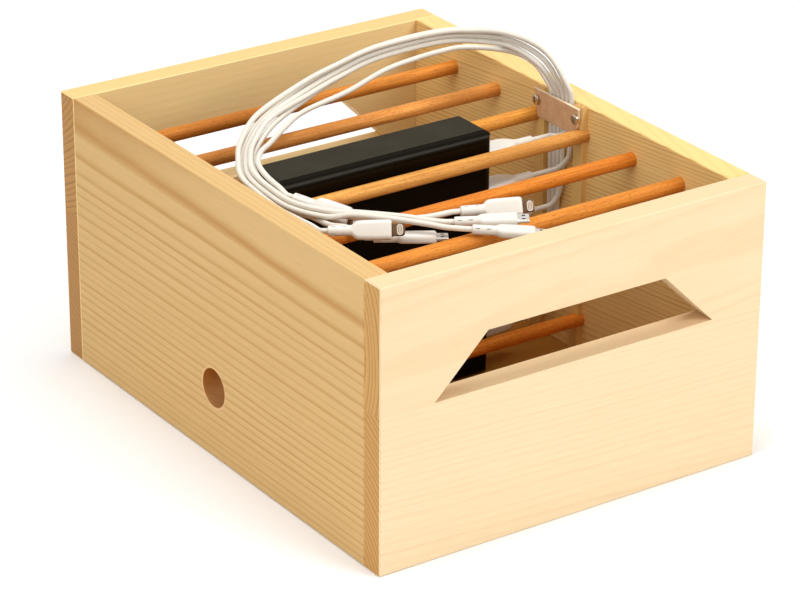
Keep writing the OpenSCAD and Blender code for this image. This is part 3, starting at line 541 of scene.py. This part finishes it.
def laminate(name):
    """Circuit board: green mask with a faint weave and paler tracks."""
    n = Nodes(name)
    tracks = n.add("ShaderNodeTexBrick", {
        "Vector": n.coords, "Scale": 90.0, "Mortar Size": 0.04, "Color1": (0.02, 0.16, 0.07, 1),
        "Color2": (0.03, 0.2, 0.09, 1), "Mortar": (0.09, 0.34, 0.16, 1)}).outputs["Color"]
    weave = n.noise(n.coords, 2500, 1)
    colour = n.mix(n.between(weave, 0.4, 0.6, 0.0, 0.2), tracks, (0.01, 0.1, 0.05))
    return n.finish(Base_Color=colour, Roughness=0.35, Normal=n.bump(weave, 0.1, 0.0001))


MATS = {
    "front_upper": softwood("pine_front_upper", "X", (-66.0, 122.0), 3.2, (0.87, 0.68, 0.43),
                            (0.75, 0.47, 0.21), tilt=(0.0, 0.07), depth=0.36, seed=2.0,
                            end=(0.68, 0.37, 0.115), top_shade=0.25),
    "front_lower": softwood("pine_front_lower", "X", (-80.0, -40.0), 3.0, (0.87, 0.69, 0.44),
                            (0.75, 0.48, 0.23), tilt=(0.02, -0.03), depth=0.3, seed=5.0,
                            end=(0.66, 0.35, 0.105), top_shade=0.4),
    "back_upper": softwood("pine_back_upper", "X", (190.0, 190.0), 3.4, (0.96, 0.73, 0.35),
                           (0.82, 0.51, 0.18), depth=0.28, seed=9.0, end=(0.54, 0.275, 0.083),
                           top_shade=0.6),
    "back_lower": softwood("pine_back_lower", "X", (185.0, -30.0), 2.6, (0.94, 0.70, 0.34),
                           (0.76, 0.47, 0.17), depth=0.4, seed=13.0, end=(0.52, 0.26, 0.078)),
    "left": softwood("pine_left", "Y", (-60.0, 150.0), 4.0, (0.71, 0.47, 0.20),
                     (0.53, 0.29, 0.08), tilt=(0.0056, 0.0), depth=0.9, wobble=0.22, seed=17.0,
                     mark=(61.3, 1.2, 0.8, (0.50, 0.23, 0.055)), bore=(0.0, 41.0, 11.0)),
    # The right board's pale colours are partly its own and partly painted light: they are raised to
    # brighten its inner face, which lies in shade inside the box.
    "right": softwood("pine_right", "Y", (170.0, -20.0), 2.1, (0.97, 0.67, 0.27),
                      (0.66, 0.37, 0.10), tilt=(0.0, -0.09), depth=0.85, wobble=0.5, rim=0.25,
                      seed=21.0),
    # The floor panel's very dark colours are painted shade: it lies in shadow deep inside the box.
    "floor": softwood("pine_floor_painted_shade", "Y", (20.0, -120.0), 3.6, (0.40, 0.17, 0.025),
                      (0.30, 0.11, 0.012), depth=0.4, seed=25.0),
    "batten": softwood("pine_batten", "Z", (60.0, 30.0), 2.6, (0.88, 0.60, 0.22),
                       (0.70, 0.41, 0.12), depth=0.4, seed=29.0),
    "leather": leather("leather_strap", (0.74, 0.45, 0.24), (0.58, 0.33, 0.165),
                       (0.90, 0.70, 0.50)),
    "nickel": metal("nickel", (0.58, 0.49, 0.38), 0.22),
    # The plug metal's warm tint is partly its own and partly painted reflection of the orange wood
    # round it.
    "steel": metal("plug_metal", (0.74, 0.70, 0.64), 0.26),
    "dark_metal": metal("tab_metal", (0.15, 0.085, 0.045), 0.35),
    "gold": metal("contact_gold", (0.80, 0.64, 0.50), 0.3),
    "black": plastic("cover_black", (0.005, 0.0032, 0.0014), 0.17, 1500, 0.02, speckle=0.1,
                     specular=0.075, tint=(1.0, 0.9, 0.74)),
    "grey": plastic("housing_grey", (0.025, 0.0195, 0.0095), 0.6, 2600, 0.12, speckle=0.3,
                    specular=0.1),
    "white": plastic("connector_white", (0.79, 0.745, 0.66), 0.35, 900, 0.03, speckle=0.06,
                     coat=0.15),
    "jacket": plastic("cable_jacket", (0.79, 0.735, 0.635), 0.5, 700, 0.06, speckle=0.12),
    # Painted shade: the slots in the connector sleeves are coloured dark, as shade in them.
    "cut": plastic("sleeve_slot_shade", (0.24, 0.18, 0.12), 0.6, 900, 0.03),
    "laminate": laminate("circuit_board"),
    "tape": plastic("winding_tape", (0.55, 0.36, 0.07), 0.45, 500, 0.1, speckle=0.15),
}
# Each upper dowel's light and dark colour, and how much painted shade darkens it towards -X.
DOWEL_LOOKS = (((0.84, 0.32, 0.05), (0.60, 0.19, 0.022), 0.55),
               ((0.92, 0.40, 0.10), (0.68, 0.25, 0.045), 0.55),
               ((0.88, 0.39, 0.07), (0.68, 0.26, 0.036), 0.0),
               ((0.80, 0.38, 0.092), (0.60, 0.25, 0.048), 0.0),
               ((0.82, 0.28, 0.032), (0.62, 0.175, 0.016), 0.0),
               ((0.84, 0.32, 0.05), (0.64, 0.21, 0.026), 0.0))
for k, (light, dark, painted_shade) in enumerate(DOWEL_LOOKS, 1):
    MATS["dowel_%d" % k] = hardwood("beech_%d" % k, light, dark, float(k), painted_shade)

NODE_MATERIALS = {
    "front_upper_board": "front_upper", "front_lower_board": "front_lower",
    "back_upper_board": "back_upper", "back_lower_board": "back_lower",
    "left_side_board": "left", "right_side_board": "right", "floor_panel": "floor",
    "front_batten": "batten", "back_batten": "batten", "lower_dowels": "dowel_5",
    "corner_pins": "dowel_4", "leather_strap": "leather", "strap_screws": "nickel",
    "board_screws": "nickel", "inlet_pins": "nickel", "charger_housing": "grey",
    "charger_cover": "black", "mains_inlet": "black", "capacitors": "black",
    "circuit_board": "laminate", "transformer": "tape", "usb_sockets": "steel",
    "socket_tongues": "white",
}
for k in range(1, 7):
    NODE_MATERIALS["upper_dowel_%d" % k] = "dowel_%d" % k
    NODE_MATERIALS["plug_tip_%d" % k] = "steel"
    NODE_MATERIALS["connector_tip_%d" % k] = "steel"
    for stem in ("usb_plug", "connector", "cable"):
        NODE_MATERIALS["%s_%d" % (stem, k)] = "white"


def dress(piece, *names):
    for name in names:
        piece.data.materials.append(MATS[name])


for node, material in NODE_MATERIALS.items():
    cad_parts[node].data.materials.clear()
    dress(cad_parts[node], material)


# ---------------------------------------------------------------- connectors
# Made along X in millimetres from where the cable enters, then put in their places.

BODY_LENGTH = 32.0
# A body's width and thickness and its sleeve's diameter, by its tip.
BODY_SIZE = {"flat": (10.3, 5.9, 5.5), "hollow": (8.3, 5.15, 5.1)}
# The sleeve's opening round its cable, and its end: place and loss of diameter.
SLEEVE_OPENING, SLEEVE_END = 3.6, ((0, 0.8), (0.3, 0.2))
SLEEVE_STATIONS = (1.6, 3.8, 4.4, 6.6, 7.2, 9.4, 11.6)
# The bands of faces that slots are cut into, and the faces in each.
SLEEVE_SLOTS = ((3, (3, 11, 19, 27)), (7, (3, 11, 19, 27)))
SLOT_MARGIN, SLOT_SLOPE, SLOT_DEPTH = 0.08, 0.04, 0.5
# Stations of the flare, with the shares of the body's full width and thickness there.
FLARE = ((12.3, 0.12, 0.5), (13.0, 0.45, 0.8), (13.8, 0.72, 0.95), (15.2, 0.88, 1.0),
         (18, 0.96, 1.0), (24, 1.0, 1.0), (30.6, 1.0, 1.0))
FLARE_CORNER = 0.35  # how much the corner radius shrinks along the flare
# Rounding of the body's front: place before it, loss of width and thickness, corner radius.
FRONT_EDGE = ((0.7, 0.3, 0.25, 2.0), (0.2, 0.9, 0.8, 1.8), (0.0, 1.7, 1.6, 1.4))

TIP_ROOT = 28.2
FLAT_TIP = (10.5, 6.7, 1.5)  # length, width, thickness
# Rounding of the flat tip's end: place before it, loss of width and thickness, corner radius.
FLAT_END = ((1.6, 0.0, 0.0, 0.5), (1.0, 0.25, 0.0, 0.5), (0.5, 0.8, 0.0, 0.5),
            (0.15, 1.6, 0.15, 0.45), (0.0, 2.6, 0.5, 0.4))
FLAT_COLLAR = ((31.9, 7.4, 2.5, 0.9), (32.6, 7.4, 2.5, 0.9), (32.7, 7.0, 2.1, 0.8))
# The pale frame: its middle, its size along the tip and across, its rim, and how it stands.
PILL_X, PILL_SIZE, PILL_RIM = 36.2, (3.0, 5.4), 0.42
PILL_LIFT, PILL_SUNK = 0.06, 0.05
CONTACTS, CONTACT_PITCH = 8, 0.52
CONTACT_X, CONTACT_SIZE = 35.4, (1.6, 0.34)
CONTACT_LIFT, CONTACT_THICKNESS = 0.015, 0.06

HOLLOW_TIP = (6.9, 1.9)  # width, thickness
# The shell's outside, its rim and its inside: x, loss of width and thickness, corner radius.
HOLLOW_SHELL = ((TIP_ROOT, 0.0, 0.0, 0.9), (37.6, 0.0, 0.0, 0.9), (37.95, 0.25, 0.2, 0.85),
                (38.0, 0.5, 0.4, 0.75), (37.8, 0.7, 0.65, 0.6), (32.4, 0.7, 0.65, 0.6))
HOLLOW_TONGUE = ((32.3, 4.6, 0.5, 0.2), (37.2, 4.6, 0.5, 0.2), (37.4, 4.3, 0.35, 0.15))
HOLLOW_COLLAR = ((31.9, 7.6, 2.6, 1.2), (32.5, 7.6, 2.6, 1.2), (32.6, 7.2, 2.2, 1.1))
# The windows are flat black patches: painted shade where the shell is open.
WINDOW_X, WINDOW_Y, WINDOW_SIZE = 34.2, 1.5, (1.8, 1.0)


def pose_matrix(pose):
    place, *angles, _ = pose
    matrix = Matrix.Translation(Vector(place) * MM)
    for angle, axis in zip(angles, "ZYX"):
        matrix = matrix @ Matrix.Rotation(math.radians(angle), 4, axis)
    return matrix


def connector_body(i):
    """Sleeve with short slots, flaring into a flat body with round edges."""
    pose = CONNECTOR_POSE[i]
    w, h, d = BODY_SIZE[pose[4]]
    sleeve = [(0, SLEEVE_OPENING)] + [(x, d - less) for x, less in SLEEVE_END]
    sleeve += [(x, d) for x in SLEEVE_STATIONS]
    sections = [(x, across, across, across / 2) for x, across in sleeve]
    sections += [(x, d + (w - d) * wide, d + (h - d) * thick, d / 2 - FLARE_CORNER * wide)
                 for x, wide, thick in FLARE]
    sections += [(BODY_LENGTH - x, w - dw, h - dh, radius) for x, dw, dh, radius in FRONT_EDGE]
    bm = bmesh.new()
    bands = add_loft(bm, sections)
    # The faces to cut are counted before the points are joined, while every band is complete.
    cuts = [bands[band][k] for band, places in SLEEVE_SLOTS for k in places]
    weld(bm)
    bmesh.ops.inset_individual(bm, faces=cuts, thickness=SLOT_MARGIN * MM, depth=0.0)
    bmesh.ops.inset_individual(bm, faces=cuts, thickness=SLOT_SLOPE * MM, depth=-SLOT_DEPTH * MM)
    # The slots' faces take the dark colour: painted shade in the slots.
    for face in cuts:
        face.material_index = 1
    piece = new_object("connector_body_%d" % (i + 1), bm)
    put(piece, pose_matrix(pose))
    shade(piece)
    dress(piece, "white", "cut")
    return piece


def add_pill_frames(bm, face_z, slot):
    """Flat pill-shaped frame on each of the two faces at the height face_z."""
    l, w = PILL_SIZE
    radius = min(l, w) / 2
    outer = round_rect(l, w, radius)
    inner = round_rect(l - 2 * PILL_RIM, w - 2 * PILL_RIM, radius - PILL_RIM)
    low, high = face_z - PILL_SUNK, face_z + PILL_LIFT
    for sign in (1, -1):
        rings = [[bm.verts.new(((PILL_X + px) * MM, py * MM, sign * z * MM)) for px, py in points]
                 for points, z in ((outer, low), (outer, high), (inner, high), (inner, low))]
        for a, b in zip(rings, rings[1:]):
            bridge(bm, a, b, slot)


def rectangle(x, y, z, size):
    """Corners of a rectangle from x on and with y in its middle, in metres."""
    l, half = size[0], size[1] / 2
    return [((x + dx) * MM, (y + dy) * MM, z * MM)
            for dx, dy in ((0, -half), (l, -half), (l, half), (0, half))]


def flat_tip():
    """Thin tab with round corners, a pale pill-shaped frame and a row of contacts on each face."""
    bm = bmesh.new()
    length, w, t = FLAT_TIP
    sections = [(TIP_ROOT, w, t, 0.5)]
    sections += [(TIP_ROOT + length - x, w - dw, t - dt, radius) for x, dw, dt, radius in FLAT_END]
    add_loft(bm, sections)
    add_loft(bm, FLAT_COLLAR)
    add_pill_frames(bm, t / 2, 1)
    for k in range(CONTACTS):
        y = (k - (CONTACTS - 1) / 2) * CONTACT_PITCH
        for sign in (1, -1):
            z = sign * (t / 2 + CONTACT_LIFT)
            levels = [rectangle(CONTACT_X, y, level, CONTACT_SIZE)
                      for level in (z, z - sign * CONTACT_THICKNESS)]
            outside, inside = ([bm.verts.new(corner) for corner in level] for level in levels)
            bm.faces.new(outside).material_index = 2
            bm.faces.new(inside).material_index = 2
            bridge(bm, outside, inside, 2)
    return bm


def hollow_tip():
    """Open metal shell with round sides, black patches of painted shade for its windows, and a
    contact tongue inside.
    """
    bm = bmesh.new()
    w, t = HOLLOW_TIP
    add_loft(bm, [(x, w - dw, t - dt, radius) for x, dw, dt, radius in HOLLOW_SHELL])
    add_loft(bm, HOLLOW_TONGUE, 1)
    add_loft(bm, HOLLOW_COLLAR)
    # Painted shade: flat black patches stand for the shell's open windows.
    for y in (-WINDOW_Y, WINDOW_Y):
        for sign in (1, -1):
            corners = rectangle(WINDOW_X, y, sign * (t / 2 + CONTACT_LIFT), WINDOW_SIZE)
            bm.faces.new([bm.verts.new(c) for c in corners]).material_index = 1
    return bm


def connector_end(i):
    pose = CONNECTOR_POSE[i]
    flat = pose[4] == "flat"
    piece = new_object("connector_end_%d" % (i + 1), flat_tip() if flat else hollow_tip())
    put(piece, pose_matrix(pose))
    shade(piece, 30)
    if flat:
        dress(piece, "dark_metal", "white", "gold")
    else:
        dress(piece, "steel", "black")
    return piece


# ---------------------------------------------------------------- plugs

PLUG_FACE_X = 49.3
# Sections of x from the plug's face, width, thickness and corner radius. The last two are the bore.
PLUG_BODY = ((0, 13.4, 5.8, 1.4), (0.2, 14.0, 6.3, 1.8), (0.7, 14.4, 6.6, 2.1),
             (15.5, 14.4, 6.6, 2.3), (17.5, 14.1, 6.6, 2.6), (19.5, 13.0, 6.5, 2.9),
             (21.3, 11.0, 6.3, 3.0), (22.8, 8.6, 6.1, 2.95), (24.0, 6.7, 5.8, 2.8),
             (25.2, 5.6, 5.5, 2.7), (26.5, 5.4, 5.4, 2.7), (35.0, 5.4, 5.4, 2.7),
             (35.35, 5.1, 5.1, 2.55), (35.5, 4.6, 4.6, 2.3), (35.5, 3.7, 3.7, 1.85),
             (20.4, 3.7, 3.7, 1.85))
PLUG_INSULATOR = ((-11.0, 11.3, 1.7, 0.1), (2.9, 11.3, 1.7, 0.1))
INSULATOR_DROP = 1.05


def usb_plug(i):
    """Smooth plug body that narrows to a plain sleeve with a bore, and its tip's insulator."""
    bm = bmesh.new()
    add_loft(bm, PLUG_BODY)
    body_points = len(bm.verts)
    add_loft(bm, PLUG_INSULATOR)
    for v in list(bm.verts)[body_points:]:
        v.co.z -= INSULATOR_DROP * MM
    piece = new_object("usb_plug_body_%d" % (i + 1), bm)
    put(piece, Matrix.Translation(Vector((PLUG_FACE_X, 0, PORT_Z[i])) * MM))
    shade(piece, 35)
    dress(piece, "white")
    return piece


# ---------------------------------------------------------------- strap

STRAP_X, STRAP_THICKNESS = 102.5, 2.0
STRAP_HALF = (17.0, 21.0)  # half its width at its bottom and at its top
DOWEL_Y, DOWEL_Z = 20.7, 141.2
DOWEL_CLEAR = 4.2
STRAP_COLUMNS, STRAP_ROWS = 28, 12


def strap_rows(bm, x):
    """Rows of vertices over the strap's outline, cut back round the dowels on both sides."""
    rows = []
    for j in range(STRAP_ROWS + 1):
        v = j / STRAP_ROWS
        half = STRAP_HALF[0] + (STRAP_HALF[1] - STRAP_HALF[0]) * v
        z = STRAP_BOTTOM_Z + (STRAP_TOP_Z - STRAP_BOTTOM_Z) * v
        reach = DOWEL_Y - math.sqrt(max(0.0, DOWEL_CLEAR ** 2 - (z - DOWEL_Z) ** 2))
        left, right = max(CHANNEL_MID_Y - half, -reach), min(CHANNEL_MID_Y + half, reach)
        across = (left + (right - left) * k / STRAP_COLUMNS for k in range(STRAP_COLUMNS + 1))
        rows.append([bm.verts.new((x * MM, y * MM, z * MM)) for y in across])
    return rows


def strap():
    """Leather strip, wider at its top, with rounded edges."""
    bm = bmesh.new()
    layers = [strap_rows(bm, x) for x in (STRAP_X, STRAP_X - STRAP_THICKNESS)]
    for rows in layers:
        for low, high in zip(rows, rows[1:]):
            for k in range(STRAP_COLUMNS):
                bm.faces.new((low[k], low[k + 1], high[k + 1], high[k]))
    border = [(0, k) for k in range(STRAP_COLUMNS)]
    border += [(j, STRAP_COLUMNS) for j in range(STRAP_ROWS)]
    border += [(STRAP_ROWS, k) for k in range(STRAP_COLUMNS, 0, -1)]
    border += [(j, 0) for j in range(STRAP_ROWS, 0, -1)]
    bridge(bm, *([rows[j][k] for j, k in border] for rows in layers))
    piece = new_object("leather_strip", bm)
    bevel = piece.modifiers.new("edges", "BEVEL")
    bevel.width = 0.45 * MM
    bevel.segments = 3
    bevel.limit_method = "ANGLE"
    bevel.angle_limit = math.radians(50)
    shade(piece, 60)
    dress(piece, "leather")
    return piece


# ---------------------------------------------------------------- put together

cables = [cable_piece(i) for i in CABLES]
for i, (piece, start, length) in enumerate(cables):
    number = i + 1
    dress(piece, "jacket")
    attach(piece, "box")
    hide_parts("cable_%d" % number)
    body, end = connector_body(i), connector_end(i)
    for part, node, slot in ((body, "connector_%d", "white_plastic"),
                             (end, "connector_tip_%d", "plug_metal")):
        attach(part, "box")
        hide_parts(node % number)
    plug = usb_plug(i)
    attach(plug, "plug_%d" % number)
    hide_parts("usb_plug_%d" % number)

strip = strap()
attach(strip, "box")
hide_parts("leather_strap")


# ---------------------------------------------------------------- floor, light, world

FLOOR_SIZE, FLOOR_DROP = 12, 0.0002
FLOOR_TONES = ((0.975, 0.975, 0.98), (0.985, 0.985, 0.985))
# Each lamp's name, place, target, width, height and power.
LAMPS = (("key", (0.9, -1.7, 1.5), (0, 0, 0.08), 1.2, 1.2, 26),
         ("top", (-0.1, 0.1, 1.9), (0, 0, 0.1), 0.9, 0.9, 17),
         ("side", (-1.5, -0.5, 1.1), (0, 0, 0.1), 0.9, 0.9, 8))
SOFT_LIGHT, SOFT_STRENGTH = (0.99, 0.99, 1.0, 1), 0.5
WHITE, WHITE_STRENGTH = (1, 1, 1, 1), 1.0


def make_floor():
    bpy.ops.mesh.primitive_plane_add(size=FLOOR_SIZE, location=(0, 0, -FLOOR_DROP))
    floor = bpy.context.object
    floor.name = "floor"
    n = Nodes("floor_white")
    colour = n.mix(n.noise(n.coords, 0.5, 1), *FLOOR_TONES)
    material = n.finish(Base_Color=colour, Roughness=0.9, Specular_IOR_Level=0.0)
    floor.data.materials.append(material)


def area_light(name, place, target, width, height, power):
    data = bpy.data.lights.new(name, "AREA")
    data.shape = "RECTANGLE"
    data.size, data.size_y = width, height
    data.energy = power
    lamp = add_object(name, data)
    lamp.location = place
    lamp.rotation_mode = "QUATERNION"
    lamp.rotation_quaternion = (Vector(target) - Vector(place)).to_track_quat("-Z", "Y")


def make_world():
    """Soft light on the object, and plain white for the camera, gloss and transmission."""
    world = bpy.data.worlds.new("studio")
    bpy.context.scene.world = world
    world.use_nodes = True
    tree = world.node_tree
    tree.nodes.clear()
    path = tree.nodes.new("ShaderNodeLightPath")
    mix = tree.nodes.new("ShaderNodeMixShader")
    out = tree.nodes.new("ShaderNodeOutputWorld")
    seen = path.outputs["Is Camera Ray"]
    for kind in ("Is Glossy Ray", "Is Transmission Ray"):
        either = tree.nodes.new("ShaderNodeMath")
        either.operation = "MAXIMUM"
        tree.links.new(seen, either.inputs[0])
        tree.links.new(path.outputs[kind], either.inputs[1])
        seen = either.outputs[0]
    tree.links.new(seen, mix.inputs[0])
    for socket, colour, strength in ((1, SOFT_LIGHT, SOFT_STRENGTH), (2, WHITE, WHITE_STRENGTH)):
        background = tree.nodes.new("ShaderNodeBackground")
        background.inputs["Color"].default_value = colour
        background.inputs["Strength"].default_value = strength
        tree.links.new(background.outputs[0], mix.inputs[socket])
    tree.links.new(mix.outputs[0], out.inputs[0])


make_floor()
for lamp in LAMPS:
    area_light(*lamp)
make_world()
bpy.context.scene.view_settings.view_transform = "Standard"
